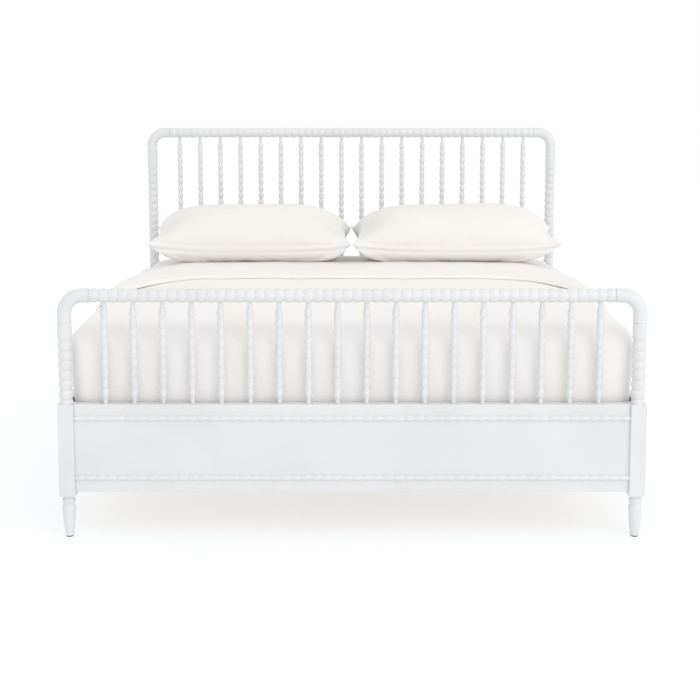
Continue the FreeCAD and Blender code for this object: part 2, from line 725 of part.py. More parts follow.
def centre_leg(y):
    """A square leg under the beam, bored for its insert and the levelling stud."""
    body = eased(
        box(around(0, LEG_SQUARE), around(y, LEG_SQUARE), (LEG_BOTTOM, BEAM_BOTTOM)), LEG_EDGE_R
    )
    end = Vector(0, y, LEG_BOTTOM)
    insert_bore = rod(INSERT_D + 2 * GLUE_GAP, end - UP * OVERRUN, end + UP * INSERT_L)
    stud_top = LEVELLER_T + STUD_L + STUD_TRAVEL + OVERRUN
    stud_bore = rod(STUD_D + 2 * STUD_GAP, end, Vector(0, y, stud_top))
    return body.cut([leg_screw(y, GLUE_GAP), insert_bore, stud_bore])


def leg_insert(y):
    end = Vector(0, y, LEG_BOTTOM)
    sleeve = rod(INSERT_D, end, end + UP * INSERT_L)
    bore = rod(STUD_D + 2 * STUD_GAP, end - UP * OVERRUN, end + UP * (INSERT_L + OVERRUN))
    return sleeve.cut(bore)


def leveller(y):
    """A levelling foot: a round pad with its hub and stud."""
    hub = LEVELLER_T + LEVELLER_HUB_H
    outline = Turning(LEVELLER_D / 2, 0)
    outline.line(LEVELLER_D / 2, LEVELLER_T / 2)
    outline.line(LEVELLER_HUB_D / 2, LEVELLER_T)
    outline.line(LEVELLER_HUB_D / 2, hub)
    outline.line(STUD_D / 2, hub)
    outline.line(STUD_D / 2, LEVELLER_T + STUD_L)
    foot = outline.solid()
    foot.translate(Vector(0, y, 0))
    return foot


def level_outline(half_x, half_y, corner, z):
    """A level rectangle with rounded corners."""
    edges = []
    lean = corner * (1 - 0.5**0.5)
    for sx, sy in ((1, 1), (-1, 1), (-1, -1), (1, -1)):
        x_end = Vector(sx * half_x, sy * (half_y - corner), z)
        y_end = Vector(sx * (half_x - corner), sy * half_y, z)
        start, end = (x_end, y_end) if sx == sy else (y_end, x_end)
        middle = Vector(sx * (half_x - lean), sy * (half_y - lean), z)
        if edges:
            edges.append(Part.LineSegment(edges[-1].Vertexes[-1].Point, start).toShape())
        edges.append(Part.Arc(start, middle, end).toShape())
    edges.append(Part.LineSegment(edges[-1].Vertexes[-1].Point, edges[0].Vertexes[0].Point).toShape())
    return Part.Wire(edges)


def mattress_form(grow=0.0):
    """The mattress, or what lies over it when its sides and top grow."""
    half_x = MATTRESS_WIDTH / 2 - SHEET_T - SOFT_GAP + grow
    half_y = MATTRESS_LENGTH / 2 - SHEET_T - SOFT_GAP + grow
    levels = []
    for height_share, inset_share in MATTRESS_LEVEL_SHARES:
        inset = inset_share * MATTRESS_DRAW_IN
        z = MATTRESS_BOTTOM + height_share * (MATTRESS_T + grow)
        levels.append(level_outline(half_x - inset, half_y - inset, MATTRESS_CORNER_R, z))
    return Part.makeLoft(levels, True, False)


def top_sheet():
    """The sheet over the mattress, doubled where it is turned down in front of the pillows."""
    reach_x = (-POST_X, POST_X)
    reach_top = MATTRESS_TOP + MATTRESS_T
    single = box(reach_x, (-BOARD_Y, FOLD_Y), (SLAT_TOP + SHEET_TUCK, reach_top))
    double = box(reach_x, (FOLD_Y - TURN_DOWN, FOLD_Y), (MATTRESS_TOP - TURN_DOWN_DROP, reach_top))
    lower = mattress_form(SOFT_GAP + SHEET_T).common(single)
    upper = mattress_form(SOFT_GAP + 2 * SHEET_T).common(double)
    return lower.fuse(upper).cut(mattress_form(SOFT_GAP))


def pillow_section(x, crown_share):
    """A lens across the pillow: a crown and a belly that meet at the front and back seams."""
    waist = PILLOW_WAIST * crown_share
    front = PILLOW_FRONT_Y + waist
    back = PILLOW_BACK_Y - waist
    middle = (front + back) / 2
    front_seam = MATTRESS_TOP + PILLOW_FRONT_SEAM
    back_seam = MATTRESS_TOP + PILLOW_BACK_SEAM
    seam = (front_seam + back_seam) / 2
    half = PILLOW_PIPING / 2
    front_up, front_down = Vector(x, front, front_seam + half), Vector(x, front, front_seam - half)
    back_up, back_down = Vector(x, back, back_seam + half), Vector(x, back, back_seam - half)
    crown = Vector(x, middle, seam + half + PILLOW_RISE * crown_share)
    belly = Vector(x, middle, seam - half - PILLOW_SAG * crown_share)
    edges = (
        Part.Arc(front_up, crown, back_up).toShape(),
        Part.LineSegment(back_up, back_down).toShape(),
        Part.Arc(back_down, belly, front_down).toShape(),
        Part.LineSegment(front_down, front_up).toShape(),
    )
    return Part.Wire(edges)


def pillow(side):
    """A plump pillow with drawn-in sides, flat only where it lies on the mattress."""
    sections = []
    for place_share, crown_share in PILLOW_SECTION_SHARES:
        sections.append(pillow_section(side * PILLOW_MID_X + place_share * PILLOW_W / 2, crown_share))
    plump = Part.makeLoft(sections, True, False)
    bed_top = MATTRESS_TOP + SOFT_GAP
    pressed = box((-POST_X, POST_X), (-BOARD_Y, BOARD_Y), (bed_top - PILLOW_SAG, bed_top))
    return plump.cut(pressed)


os.makedirs("parts", exist_ok=True)

for board in (FOOT, HEAD):
    for side_name, side in SIDES.items():
        save(board.name + "_post_" + side_name, post(side, board))
        save(board.name + "_elbow_" + side_name, elbow(side, board))
    save(board.name + "_top_rail", top_rail(board))
    save(board.name + "_spindles", *spindles(board))
    save(board.name + "_upper_rail", upper_rail(board))
    save(board.name + "_panel", field_panel(board))
    save(board.name + "_lower_rail", lower_rail(board))
    save(board.name + "_cross_rail", cross_rail(board))
    save("beam_hanger_" + board.name, beam_hanger(board))

save("foot_upper_moulding", split_moulding(UPPER_RAIL_BOTTOM - MOULDING_OFFSET))
save("foot_lower_moulding", split_moulding(LOWER_RAIL_TOP + MOULDING_OFFSET))

for side_name, side in SIDES.items():
    save("side_rail_" + side_name, side_rail(side))
    save("slat_cleat_" + side_name, slat_cleat(side))

for index in range(SLAT_COUNT):
    save("slat_" + str(index + 1).zfill(2), slat(index))

save("centre_beam", centre_beam())
for name, y in leg_places().items():
    save("centre_leg_" + name, centre_leg(y))
    save("leveller_" + name, leveller(y))
save("leg_inserts", *[leg_insert(y) for y in leg_places().values()])
save("leg_screws", *[leg_screw(y) for y in leg_places().values()])

corners = [(side, board) for side in SIDES.values() for board in (FOOT, HEAD)]
save("post_glides", *[glide(side, board) for side, board in corners])
save("elbow_dowels", *[dowel for side, board in corners for dowel in elbow_dowels(side, board)])
save("rail_hook_plates", *[hook_plate(side, board) for side, board in corners])
save("post_slot_plates", *[slot_plate(side, board) for side, board in corners])

wood_screws = []
for side, board in corners:
    for group in plate_screws(side, board):
        wood_screws += group
for side in SIDES.values():
    wood_screws += cleat_screws(side) + slat_screws(side)
for board in (FOOT, HEAD):
    wood_screws += hanger_screws(board)
save("wood_screws", *wood_screws)

save("mattress", mattress_form())
save("top_sheet", top_sheet())
for side_name, side in SIDES.items():
    save("pillow_" + side_name, pillow(side))
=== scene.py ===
import math

import bpy
import numpy as np
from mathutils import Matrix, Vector, noise


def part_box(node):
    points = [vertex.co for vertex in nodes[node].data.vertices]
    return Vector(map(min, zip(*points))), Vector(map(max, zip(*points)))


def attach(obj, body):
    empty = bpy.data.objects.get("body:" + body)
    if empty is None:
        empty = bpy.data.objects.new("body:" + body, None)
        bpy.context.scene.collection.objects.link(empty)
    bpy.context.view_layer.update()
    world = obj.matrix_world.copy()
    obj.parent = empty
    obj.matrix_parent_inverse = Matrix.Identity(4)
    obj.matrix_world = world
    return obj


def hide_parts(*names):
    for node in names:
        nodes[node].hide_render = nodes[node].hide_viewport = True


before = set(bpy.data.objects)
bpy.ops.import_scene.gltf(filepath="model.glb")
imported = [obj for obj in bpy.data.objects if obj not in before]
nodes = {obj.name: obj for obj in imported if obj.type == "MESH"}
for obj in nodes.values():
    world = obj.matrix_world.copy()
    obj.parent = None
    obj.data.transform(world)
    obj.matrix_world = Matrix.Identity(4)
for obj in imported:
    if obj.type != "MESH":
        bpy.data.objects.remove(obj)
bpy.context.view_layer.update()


# Posts
# Four posts, each turned from one square of hardwood: a tapered foot, a plain block that takes the
# rails, a run of beads and a smooth barrel. All the show wood is sprayed with satin white lacquer.
class Shade:
    """A socket of a finish. Sums, differences, products and sines of it add Math nodes."""

    def __init__(self, finish, socket):
        self.finish = finish
        self.socket = socket

    def maths(self, operation, first, second=0.0):
        return self.finish.node("Math", {"operation": operation}, {0: first, 1: second})

    def __add__(self, other):
        return self.maths("ADD", self, other)

    __radd__ = __add__

    def __sub__(self, other):
        return self.maths("SUBTRACT", self, other)

    def __rsub__(self, other):
        return self.maths("SUBTRACT", other, self)

    def __mul__(self, other):
        return self.maths("MULTIPLY", self, other)

    __rmul__ = __mul__

    def sine(self):
        return self.maths("SINE", self)

    def size(self):
        return self.maths("ABSOLUTE", self)

    def between(self, low, high):
        """0 below one value, 1 above the other, and a soft step between them."""
        limits = {"Value": self, "From Min": low, "From Max": high}
        return self.finish.node("MapRange", {"interpolation_type": "SMOOTHSTEP"}, limits)

    def tint(self, at_zero, at_one):
        """A colour that goes from one to the other as the value goes from 0 to 1."""
        return self.finish.node("Mix", {"data_type": "RGBA"}, {0: self, 6: at_zero, 7: at_one}, 2)


class Finish:
    """A procedural material, with the values that are the same all over set on its shader."""

    def __init__(self, name, constants):
        self.material = bpy.data.materials.new(name)
        self.material.use_nodes = True
        self.tree = self.material.node_tree
        self.shader = self.tree.nodes["Principled BSDF"]
        for socket, value in constants.items():
            self.shader.inputs[socket].default_value = value

    def node(self, kind, settings, sockets, output=0):
        """Any node: its settings first, then the values or links of its sockets."""
        made = self.tree.nodes.new("ShaderNode" + kind)
        for name, value in settings.items():
            setattr(made, name, value)
        for name, value in sockets.items():
            if isinstance(value, Shade):
                self.tree.links.new(value.socket, made.inputs[name])
            else:
                made.inputs[name].default_value = value
        return Shade(self, made.outputs[output])

    def place(self):
        return self.node("TexCoord", {}, {}, "Object")

    def noise(self, place, scale, stretch=(1, 1, 1), detail=3.0):
        """Noise with so many waves in a metre, drawn out by the stretch."""
        spread = self.node("Mapping", {}, {"Vector": place, "Scale": stretch})
        return self.node("TexNoise", {}, {"Vector": spread, "Scale": scale, "Detail": detail})

    def feed(self, socket, shade):
        self.tree.links.new(shade.socket, self.shader.inputs[socket])

    def bump(self, height, distance, strength=1.0):
        values = {"Height": height, "Distance": distance, "Strength": strength}
        self.feed("Normal", self.node("Bump", {}, values))


# The deeper colour stands both for the paint's random tone and for the painted shade in its hollows.
LACQUER_WHITE = (0.702, 0.705, 0.708, 1)
LACQUER_TONE_AND_SHADE = (0.62, 0.624, 0.63, 1)


def drawn_out(along, share):
    """A stretch that makes noise long along one axis, as grain is."""
    return [share if axis == along else 1.0 for axis in "xyz"]


def white_lacquer(name, along):
    """Sprayed lacquer over wood with its grain along one axis. Its colour is darkened in the hollows:
    painted shade.
    """
    paint = Finish(name, {"Coat Weight": 0.12, "Coat Roughness": 0.25})
    place = paint.place()
    grain = paint.noise(place, 420.0, drawn_out(along, 0.03), 4.0)
    peel = paint.noise(place, 700.0, detail=1.0)
    cloud = paint.noise(place, 5.0)
    # Painted shade: where the surface is hollow (low pointiness) its colour is darkened, standing in for
    # the shade in grooves.
    painted_hollow_shade = 1 - paint.node("NewGeometry", {}, {}, "Pointiness").between(0.40, 0.50)
    tone_and_painted_shade = cloud.between(0.35, 0.7) * 0.35 + painted_hollow_shade * 0.5
    paint.feed("Base Color", tone_and_painted_shade.tint(LACQUER_WHITE, LACQUER_TONE_AND_SHADE))
    paint.feed("Roughness", 0.34 + cloud * 0.1 + grain * 0.06)
    paint.bump(grain * 0.7 + peel * 0.3, 0.00015, 0.4)
    return paint.material


def dress(material, *names):
    """Gives CAD nodes a finish."""
    for name in names:
        nodes[name].data.materials.clear()
        nodes[name].data.materials.append(material)


boards = ("foot", "head")
sides = ("left", "right")
upright_paint = white_lacquer("white_lacquer_upright", "z")
dress(upright_paint, *[b + "_post_" + s for b in boards for s in sides])


# Elbows and top rails
# A quarter bend of glued blocks, turned round, meets each post and each end of the top rail in a
# doweled butt seam. The top rails are turned along their whole length, with three beads to a spindle.
cross_paint = white_lacquer("white_lacquer_across", "x")
dress(cross_paint, *[b + "_elbow_" + s for b in boards for s in sides])
dress(cross_paint, *[b + "_top_rail" for b in boards])


# Spindles
# Eighteen bobbin-turned spindles in each board, of the same hardwood as the posts. Each is glued by a
# round tenon into the rails above and below, and lacquered with them.
dress(upright_paint, *[b + "_spindles" for b in boards])


# Board panels
# A field panel fills the frame between an upper and a lower rail, held by a tongue in their grooves. On
# the footboard a split turning is glued over each joint between panel and rail.
dress(cross_paint, *[b + part for b in boards for part in ("_upper_rail", "_panel", "_lower_rail")])
dress(cross_paint, "foot_upper_moulding", "foot_lower_moulding")


# Side rails
# Two deep planks that hook into slotted plates in the posts, so that the bed comes apart. They are
# planed hardwood with the grain lengthwise, lacquered like the rest.
dress(white_lacquer("white_lacquer_lengthwise", "y"), *["side_rail_" + s for s in sides])


# Slats and centre support
# Planed pine that nobody sees once the bed is made: slats screwed to cleats on the side rails, a beam
# down the middle on three legs, and a cross rail behind each panel that holds the beam's end.
PINE_LATE_WOOD = (0.66, 0.53, 0.37, 1)
PINE_EARLY_WOOD = (0.79, 0.68, 0.51, 1)
PINE_STREAK = (0.78, 0.69, 0.58, 1)


def bare_pine(name, along):
    """Planed softwood: early and late wood in long bands, a few darker streaks, no varnish."""
    stretch = drawn_out(along, 0.06)
    wood = Finish(name, {"Specular IOR Level": 0.3})
    place = wood.place()
    rings = wood.noise(place, 38.0, stretch, 2.0)
    bands = (rings * 60.0).sine() * 0.5 + 0.5
    fibre = wood.noise(place, 900.0, stretch, 3.0)
    streak = wood.noise(place, 9.0, stretch, 2.0).between(0.55, 0.75)
    banded = bands.between(0.2, 0.9).tint(PINE_LATE_WOOD, PINE_EARLY_WOOD)
    darken = {"data_type": "RGBA", "blend_type": "MULTIPLY"}
    wood.feed("Base Color", wood.node("Mix", darken, {0: streak * 0.6, 6: banded, 7: PINE_STREAK}, 2))
    wood.feed("Roughness", 0.58 + fibre * 0.2)
    wood.bump(fibre * 0.6 + bands * 0.4, 0.0003, 0.6)
    return wood.material


dress(bare_pine("pine_across", "x"), *[n for n in nodes if n.startswith(("slat_0", "slat_1"))])
dress(bare_pine("pine_cross_rail", "x"), *[b + "_cross_rail" for b in boards])
dress(bare_pine("pine_lengthwise", "y"), "centre_beam", *["slat_cleat_" + s for s in sides])
legs = ("foot", "middle", "head")
dress(bare_pine("pine_upright", "z"), "elbow_dowels", *["centre_leg_" + leg for leg in legs])


# Steel hardware
# Zinc-plated hook plates, slotted plates, beam hangers, inserts and screws, stamped or rolled and
# tumbled, so the plating is dull and slightly spangled.
ZINC_DULL = (0.55, 0.56, 0.57, 1)
ZINC_BRIGHT = (0.72, 0.73, 0.73, 1)


def zinc_plate():
    """Dull plating with fine spangles, scuffed by tumbling."""
    steel = Finish("zinc_plate", {"Metallic": 1.0})
    place = steel.place()
    spangle = steel.noise(place, 260.0, detail=2.0)
    scuff = steel.noise(place, 60.0, (1, 1, 0.2), 4.0)
    steel.feed("Base Color", spangle.tint(ZINC_DULL, ZINC_BRIGHT))
    steel.feed("Roughness", 0.3 + scuff * 0.22)
    steel.bump(scuff, 0.0001, 0.4)
    return steel.material


dress(zinc_plate(), "beam_hanger_foot", "beam_hanger_head", "rail_hook_plates", "post_slot_plates",
      "wood_screws", "leg_screws", "leg_inserts")


# Glides and levelling feet
# Moulded black nylon: a nailed glide under each post, and under each centre leg a round foot on a stud
# that screws in and out of the leg's insert.
NYLON_BLACK = (0.018, 0.018, 0.02, 1)
NYLON_DUSTY = (0.05, 0.05, 0.05, 1)


def black_nylon():
    """Finely pitted from the mould, with a little dust on it."""
    nylon = Finish("black_nylon", {"Specular IOR Level": 0.4})
    place = nylon.place()
    pitted = nylon.noise(place, 1500.0, detail=1.0)
    dust = nylon.noise(place, 40.0).between(0.5, 0.8)
    nylon.feed("Base Color", dust.tint(NYLON_BLACK, NYLON_DUSTY))
    nylon.feed("Roughness", 0.42 + dust * 0.25)
    nylon.bump(pitted, 0.0001, 0.4)
    return nylon.material


dress(black_nylon(), "post_glides", *["leveller_" + leg for leg in legs])


# Mattress
# A deep sprung mattress in an ivory cotton fitted sheet. The sheet is pulled over the corners and gathered
# under the edge, so the long sides draw in towards the slats and the top is only a little crowned.
THREAD_PITCH = 0.0011
IVORY_PALE = (0.85, 0.831, 0.802, 1)
IVORY_DEEP = (0.805, 0.781, 0.748, 1)
SHEET_T = 0.004
SIDE_DRAW_IN = 0.018
FOOT_DRAW_IN = 0.002
DRAW_IN_CURVE = 1.6
BELLY_SHARE = 0.75  # of the draw-in, given back in the middle of a long side
SIDE_SHOULDER = (0.046, 0.042)  # rise and reach
FOOT_SHOULDER = (0.078, 0.064)
CORNER_TOP = 0.042
CORNER_LOW = 0.036
CORNER_POINTS = 7
SIDE_RINGS = 14
SHOULDER_RINGS = 11
MATTRESS_CROWN = 0.010
FLATNESS = 6  # power of a swell that is flat in its middle
SLUMP = 0.02
SLUMP_HEADWARD = (0.1, 0.5)  # where it starts and where it is full
SLUMP_OUTWARD = (0.74, 0.93)
SLUMP_UPWARD = (0.5, 0.7)
FITTED_RIPPLE = 0.0012
FITTED_PULL = 0.003


def ivory_cotton(name, pale, deep, stitched_at=None):
    """Washed cotton sateen: a fine weave along the cloth, slubs, soft creases and a light nap.

    The cloth attribute holds the place on the flat cloth and the distance to its hem, in metres.
    """
    cotton = Finish(name, {"Sheen Weight": 0.1, "Sheen Roughness": 0.4, "Specular IOR Level": 0.2})
    cloth = cotton.node("Attribute", {"attribute_name": "cloth"}, {}, "Vector")
    threads = 2 * math.pi / THREAD_PITCH
    across = cotton.node("SeparateXYZ", {}, {"Vector": cloth}, "X")
    along = cotton.node("SeparateXYZ", {}, {"Vector": cloth}, "Y")
    weave = (across * threads).sine() * (along * threads).sine()
    slub = cotton.noise(cloth, 500.0, (0.05, 1, 1), 2.0)
    crease = cotton.noise(cotton.place(), 26.0, detail=4.0)
    cloud = cotton.noise(cotton.place(), 3.0)
    worn = cloud.between(0.3, 0.75) * 0.5 + slub.between(0.4, 0.8) * 0.3 + weave * 0.1
    height = crease * 0.6 + slub * 0.15 + weave * 0.08
    if stitched_at:
        hem = cotton.node("SeparateXYZ", {}, {"Vector": cloth}, "Z")
        line = 1 - (hem - stitched_at).size().between(0.0006, 0.0016)
        stitch = line * (0.6 + (across * along * 1200.0).sine() * 0.4)
        worn = worn + stitch * 0.8
        height = height - line * 0.9
    cotton.feed("Base Color", worn.tint(pale, deep))
    cotton.feed("Roughness", 0.78 + slub * 0.12)
    cotton.bump(height, 0.0011, 0.5)
    return cotton.material


def evenly(points, steps):
    """Points at even steps along a line of points."""
    points = np.array(points, float)
    run = np.append(0, np.cumsum(np.linalg.norm(np.diff(points, axis=0), axis=1)))
    at = np.linspace(0, run[-1], steps + 1)
    return np.stack([np.interp(at, run, axis) for axis in points.T], 1)


class Cover:
    """A mesh that wraps a mattress: rings up its sides and a grid over its top."""

    def __init__(self, across, along, closed):
        self.across = across
        self.along = along
        self.closed = closed
        self.points = []
        self.cloth = []
        self.faces = []
        self.rings = []

    def add(self, points, cloth):
        """New points and their places on the flat cloth. Gives back their numbers."""
        first = len(self.points)
        self.points += [tuple(p) for p in points]
        self.cloth += [tuple(c) for c in cloth]
        return list(range(first, len(self.points)))

    def outline(self, half_x, foot, head, corner):
        """A level rectangle with round corners: left side, foot, right side and, if closed, head."""

        def bend(side, y, start):
            turns = np.linspace(start, start + 0.25, CORNER_POINTS) * math.pi
            middle = side * (half_x - corner)
            return [(middle + corner * math.cos(t), y + corner * math.sin(t)) for t in turns]

        low, high = foot + corner, head - corner
        left_start = bend(-1, high, 0.75) if self.closed else [(-half_x, head)]
        right_end = bend(1, high, 0.0) if self.closed else [(half_x, head)]
        left = evenly(left_start + bend(-1, low, 1.0), self.along)
        front = evenly(bend(-1, low, 1.25) + bend(1, low, 1.5), self.across)
        right = evenly(bend(1, low, 1.75) + right_end, self.along)
        if not self.closed:
            return np.concatenate([left[:-1], front[:-1], right])
        back = evenly(bend(1, high, 0.25) + bend(-1, high, 0.5), self.across)
        return np.concatenate([left[:-1], front[:-1], right[:-1], back[:-1]])

    def ring(self, outline, z, cloth):
        """A ring of points, joined to the ring before it."""
        made = self.add([(x, y, z) for x, y in outline], cloth)
        if self.rings:
            below = self.rings[-1]
            for i in range(len(made) if self.closed else len(made) - 1):
                j = (i + 1) % len(made)
                self.faces.append((below[i], below[j], made[j], made[i]))
        self.rings.append(made)

    def fill(self, ring, crown, upward=True):
        """A grid inside a ring, rows from foot to head, that rises to a crown in its middle."""
        nx, ny = self.across, self.along
        index = np.full((ny + 1, nx + 1), -1)
        index[::-1, 0] = ring[: ny + 1]
        index[0, :] = ring[ny : ny + nx + 1]
        index[:, nx] = (ring + ring[:1])[ny + nx : 2 * ny + nx + 1]
        u = np.linspace(0, 1, nx + 1)[:, None]
        ends = np.array([[self.points[index[j, i]] for i in (0, nx)] for j in (0, ny)])
        head = ends[1, 0] * (1 - u) + ends[1, 1] * u
        if self.closed:
            index[ny, ::-1] = (ring + ring[:1])[2 * ny + nx :]
            head = np.array([self.points[p] for p in index[ny, :]])
        foot = np.array([self.points[p] for p in index[0, :]])
        for j in range(1, ny if self.closed else ny + 1):
            v = j / ny
            left, right = (np.array(self.points[index[j, i]]) for i in (0, nx))
            row = foot * (1 - v) + head * v + left * (1 - u) + right * u
            row -= (ends[0, 0] * (1 - u) + ends[0, 1] * u) * (1 - v)
            row -= (ends[1, 0] * (1 - u) + ends[1, 1] * u) * v
            swell = 1 - (2 * u[:, 0] - 1) ** FLATNESS
            swell *= 1 - (2 * v - 1 if self.closed else 1 - v) ** FLATNESS
            row[:, 2] += crown * swell
            cloth = np.stack([row[:, 0], row[:, 1], np.ones(nx + 1)], 1)
            index[j, 1:nx] = self.add(row[1:nx], cloth[1:nx])
        for j in range(ny):
            for i in range(nx):
                quad = (index[j, i], index[j, i + 1], index[j + 1, i + 1], index[j + 1, i])
                self.faces.append(quad if upward else quad[::-1])
        return index

    def wrap(self, half_x, foot, head, low, top):
        """Rings from the lower edge over the shoulder to the top, with tighter corners lower down."""
        rise = max(SIDE_SHOULDER[0], FOOT_SHOULDER[0])
        heights = list(np.linspace(low, top - rise, SIDE_RINGS, endpoint=False))
        turns = np.linspace(0, math.pi / 2, SHOULDER_RINGS)
        heights += [top - rise * (1 - math.sin(t)) for t in turns]
        rows = []
        for z in heights:
            across = side_inset(z, low, top, SIDE_DRAW_IN, *SIDE_SHOULDER)
            along = side_inset(z, low, top, FOOT_DRAW_IN, *FOOT_SHOULDER)
            corner = CORNER_TOP + (CORNER_LOW - CORNER_TOP) * ((top - z) / (top - low)) ** 2
            back = along if self.closed else 0.0
            outline = self.outline(half_x - across, foot + along, head - back, corner)
            if z < top - SIDE_SHOULDER[0]:
                belly = 1 - np.minimum(1, np.abs(outline[:, 1] / foot)) ** FLATNESS
                outline[:, 0] += np.sign(outline[:, 0]) * (BELLY_SHARE * across * belly)
            rows.append((z, across, outline))
        last = rows[-1][2]
        out = self.outline(half_x, foot, head, CORNER_TOP) - last
        out /= np.maximum(np.linalg.norm(out, axis=1)[:, None], SHEET_T)
        lengths = [math.hypot(b[0] - a[0], b[1] - a[1]) for a, b in zip(rows, rows[1:])] + [0.0]
        for number, (z, _, outline) in enumerate(rows):
            self.ring(outline, z, [(x, y, 1) for x, y in last + out * sum(lengths[number:])])

    def piece(self, name, material):
        """The cover as an object, with its shoulders let down."""
        mesh = bpy.data.meshes.new(name)
        mesh.from_pydata(slump(self.points), [], [[int(p) for p in face] for face in self.faces])
        return cloth_piece(name, mesh, self.cloth, material)


def cloth_piece(name, mesh, cloth, material):
    """A smoothed object of a mesh, with the place of each point on its flat cloth."""
    flat = mesh.attributes.new("cloth", "FLOAT_VECTOR", "POINT")
    flat.data.foreach_set("vector", np.array(cloth, np.float32).ravel())
    mesh.materials.append(material)
    mesh.shade_smooth()
    made = bpy.data.objects.new(name, mesh)
    bpy.context.scene.collection.objects.link(made)
    made.modifiers.new("smooth", "SUBSURF").render_levels = 1
    return made


def side_inset(z, low, top, draw_in, rise, reach):
    """How far a mattress's side stands in at a height: drawn in below, round at the shoulder."""
    edge = top - rise
    if z < edge:
        return draw_in * ((edge - z) / (edge - low)) ** DRAW_IN_CURVE
    return reach * (1 - math.sqrt(max(0.0, 1 - ((z - edge) / rise) ** 2)))


def soft_step(value, low, high):
    """0 below one value, 1 above the other, and a soft step between them."""
    share = min(1.0, max(0.0, (value - low) / (high - low)))
    return share * share * (3 - 2 * share)


def slump(points):
    """Lets the shoulders down towards the head, where the sheets are pulled tight under the pillows."""
    lowered = []
    for x, y, z in points:
        share = soft_step(y, *SLUMP_HEADWARD) * soft_step(abs(x), *SLUMP_OUTWARD)
        lowered.append((x, y, z - SLUMP * share * soft_step(z, *SLUMP_UPWARD)))
    return lowered


def ruffle(piece, depth, count=math.inf):
    """Moves the first so many points along their normals, by a depth that comes from each one's place."""
    mesh = piece.data
    moved = []
    for number, vertex in enumerate(mesh.vertices):
        move = depth(vertex.co) if number < count else 0.0
        moved += list(vertex.co + vertex.normal * move)
    mesh.vertices.foreach_set("co", moved)
    mesh.update()


def soft_noise(place, waves, stretch=(1, 1, 1), seed=0.0):
    """Smooth noise from -1 to 1, with about so many waves in a metre."""
    return noise.noise(Vector([p * s * waves + seed for p, s in zip(place, stretch)]))


mattress_low, mattress_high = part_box("mattress")
mattress_top = mattress_high.z - MATTRESS_CROWN
fitted = Cover(72, 76, True)
fitted.wrap(mattress_high.x, mattress_low.y, mattress_high.y, mattress_low.z, mattress_top)
fitted.fill(fitted.rings[-1], MATTRESS_CROWN)
fitted.fill(fitted.rings[0], 0.0, upward=False)
fitted_cotton = ivory_cotton("ivory_fitted_sheet", IVORY_PALE, IVORY_DEEP)
mattress = fitted.piece("mattress_in_fitted_sheet", fitted_cotton)


def fitted_creases(place):
    """Gentle ripples all over, and upright folds that grow towards the gathered edge."""
    pull = max(0.0, (mattress_high.z - place.z) / (mattress_high.z - mattress_low.z))
    folds = FITTED_PULL * pull * soft_noise(place, 6.0, (1, 1, 0.25), 7.0)
    return FITTED_RIPPLE * soft_noise(place, 3.0) + folds


ruffle(mattress, fitted_creases)
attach(mattress, "mattress")
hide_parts("mattress")


# Top sheet
# One king flat sheet in the same cotton. It is tucked in round the foot, drawn up
# over the mattress and turned down in front of the pillows, so that its wide hem lies towards the foot.
SIDE_GAP = 0.012
FOOT_GAP = 0.0105
TOP_GAP = 0.007
FOLD_R = 0.003
FOLD_POINTS = 7
HEM_Y = 0.075
HEM_WIDTH = 0.1
HEM_SWEEP_START = 0.60  # out from the middle of the bed
HEM_SWEEP_STEP = 0.128
HEM_SWEEP_GAIN = 0.05  # towards the foot, at one step out
HEM_SWEEP_MOST = 0.72
HEM_ROLL = 0.009
HEM_ROLL_BACK = 0.036  # from the hem
HEM_ROLL_WIDTH = 0.02
FLAP_DROP = 0.115
FLAP_PUFF = 0.018
FLAP_PUFF_OUT = 0.93  # from the middle of the bed, along the cloth
FLAP_PUFF_WIDTH = 0.10
FLAP_ROWS = 45
FLAP_CLOSING = 1.6  # power that packs the rows towards the hem
SHEET_RIPPLE = 0.0012
SHEET_DRAWN = 0.0036
SHEET_HUNG = 0.0030
sheet_low, sheet_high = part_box("top_sheet")
fold_y = sheet_high.y
sheet_top = mattress_top + TOP_GAP
sheet = Cover(84, 70, False)
sheet.wrap(mattress_high.x + SIDE_GAP, mattress_low.y - FOOT_GAP, fold_y, sheet_low.z, sheet_top)
top_rows = sheet.fill(sheet.rings[-1], MATTRESS_CROWN)


def hem_sweep(out):
    """How far the hem runs on towards the foot, at a distance out from the middle of the bed."""
    sweep = HEM_SWEEP_GAIN * (max(0.0, out - HEM_SWEEP_START) / HEM_SWEEP_STEP) ** 2.2
    return sweep / (1 + (sweep / HEM_SWEEP_MOST) ** 4) ** 0.25


def sheet_creases(place):
    """Gentle ripples all over, creases drawn up along the top and upright folds where it hangs."""
    hang = max(0.0, (sheet_top - place.z) / (sheet_top - sheet_low.z))
    gentle = SHEET_RIPPLE * soft_noise(place, 2.6, seed=3.0)
    drawn = SHEET_DRAWN * (1 - hang) ** 4 * soft_noise(place, 7.0, (1.0, 0.25, 1.0), 11.0)
    hung = SHEET_HUNG * hang * soft_noise(place, 5.0, (1, 1, 0.2), 19.0)
    return gentle + drawn + hung


def flap_lift(out, share, to_hem):
    """How far the turned-down part stands off: puffed at the shoulders and rolled beside its hem."""
    puff = math.exp(-(((out - FLAP_PUFF_OUT) / FLAP_PUFF_WIDTH) ** 2)) * soft_step(share, 0.3, 0.75)
    puff *= 1 - 0.7 * soft_step(share, 0.88, 1.0)
    roll = math.exp(-(((to_hem - HEM_ROLL_BACK) / HEM_ROLL_WIDTH) ** 2))
    return FLAP_PUFF * puff + HEM_ROLL * roll


